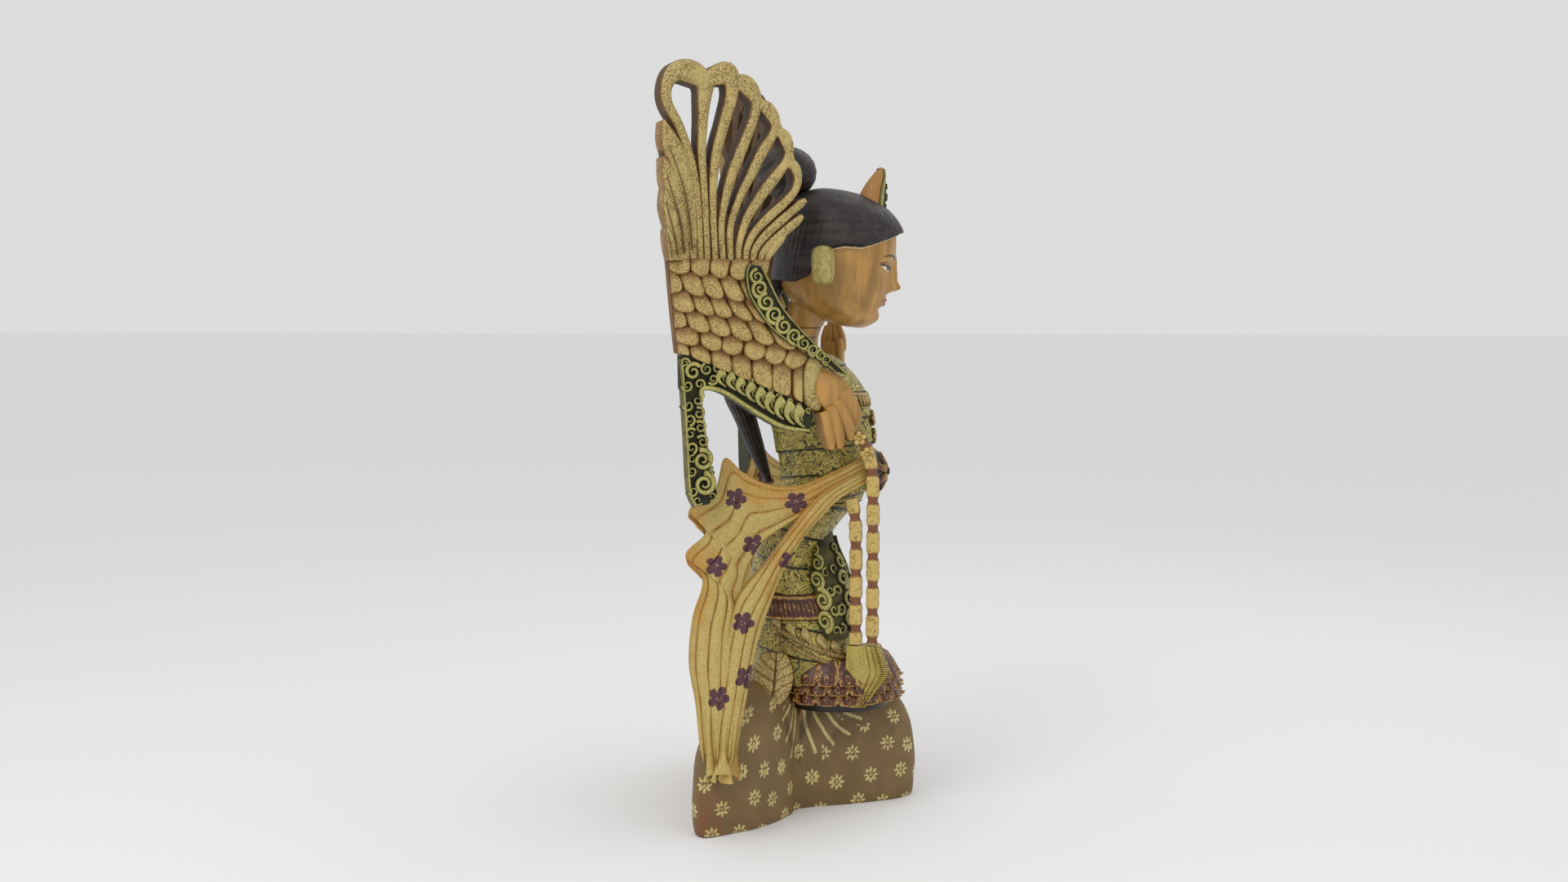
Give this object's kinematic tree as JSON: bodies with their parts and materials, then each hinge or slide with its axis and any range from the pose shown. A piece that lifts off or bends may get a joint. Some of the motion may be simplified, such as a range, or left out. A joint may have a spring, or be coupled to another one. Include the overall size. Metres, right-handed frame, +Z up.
{
  "type": "carved winged dancer figure",
  "caption": "Painted wood carving of a winged dancer standing on a draped plinth, with pierced fan wings that pull off on pegs, sashes, ribbons and an ornamented dress.",
  "frame": {"origin": "on the ground, under the middle of the carving's outer box", "axes": "+Z up; the plinth's front lobe and the dancer face -Y; her right wing is on the -X side and her left wing on the +X side"},
  "size_m": [0.3782, 0.2735, 0.81],
  "materials": {
    "bare_wood": "bare turned hardwood, glued in",
    "plinth_brown": "brown paint over wood, rubbed back, with pale gold flowers and strokes",
    "pale_gold": "pale gold paint, stippled brown, orange-brown in the grooves",
    "green_gold": "yellow-green gold relief on a black-green ground",
    "skin": "ochre-brown stain over vertical wood grain, waxed",
    "hair_black": "brown-black paint with carved strands",
    "sash_yellow": "ochre-yellow paint, pale gold on the ridges, orange in the hollows, purple flowers",
    "dark_red": "dark red paint with gold edges",
    "red_gold": "red and gold paint"
  },
  "bodies": {
    "figure": {"plinth": "plinth_brown", "hem_petals": "dark_red", "skirt": "green_gold", "apron": "green_gold", "hip_girdle": "red_gold", "right_train_leaf": "pale_gold", "left_train_leaf": "pale_gold", "torso": "green_gold", "waist_buckle": "dark_red", "head": "skin", "hair": "hair_black", "hair_bun": "hair_black", "hair_tail": "hair_black", "crest": "pale_gold", "right_ear_plug": "pale_gold", "left_ear_plug": "pale_gold", "right_arm": "skin", "right_hand": "skin", "left_arm": "skin", "left_hand": "skin", "right_sash": "sash_yellow", "left_sash": "sash_yellow", "ribbon_front": "sash_yellow", "ribbon_rear": "sash_yellow", "ribbon_tassel": "sash_yellow", "front_plinth_dowel": "bare_wood", "rear_plinth_dowel": "bare_wood", "neck_dowel": "bare_wood", "bun_peg": "bare_wood", "crest_peg": "bare_wood"},
    "right_wing": {"right_wing_fan": "pale_gold", "right_wing_coverts": "pale_gold", "right_collar": "green_gold", "right_cuff": "pale_gold", "right_leaf_border": "green_gold", "right_tail_strip": "green_gold", "right_wing_upper_peg": "bare_wood", "right_wing_lower_peg": "bare_wood"},
    "left_wing": {"left_wing_fan": "pale_gold", "left_wing_coverts": "pale_gold", "left_collar": "green_gold", "left_leaf_border": "green_gold", "left_tail_strip": "green_gold", "left_wing_upper_peg": "bare_wood", "left_wing_lower_peg": "bare_wood"}
  },
  "joints": [
    {"name": "right_wing_slide", "type": "slide", "parent": "figure", "child": "right_wing", "axis": [-1, 0, 0], "range_m": [0, 0.06]},
    {"name": "left_wing_slide", "type": "slide", "parent": "figure", "child": "left_wing", "axis": [0.7431, 0.6691, 0], "range_m": [0, 0.06]}
  ]
}
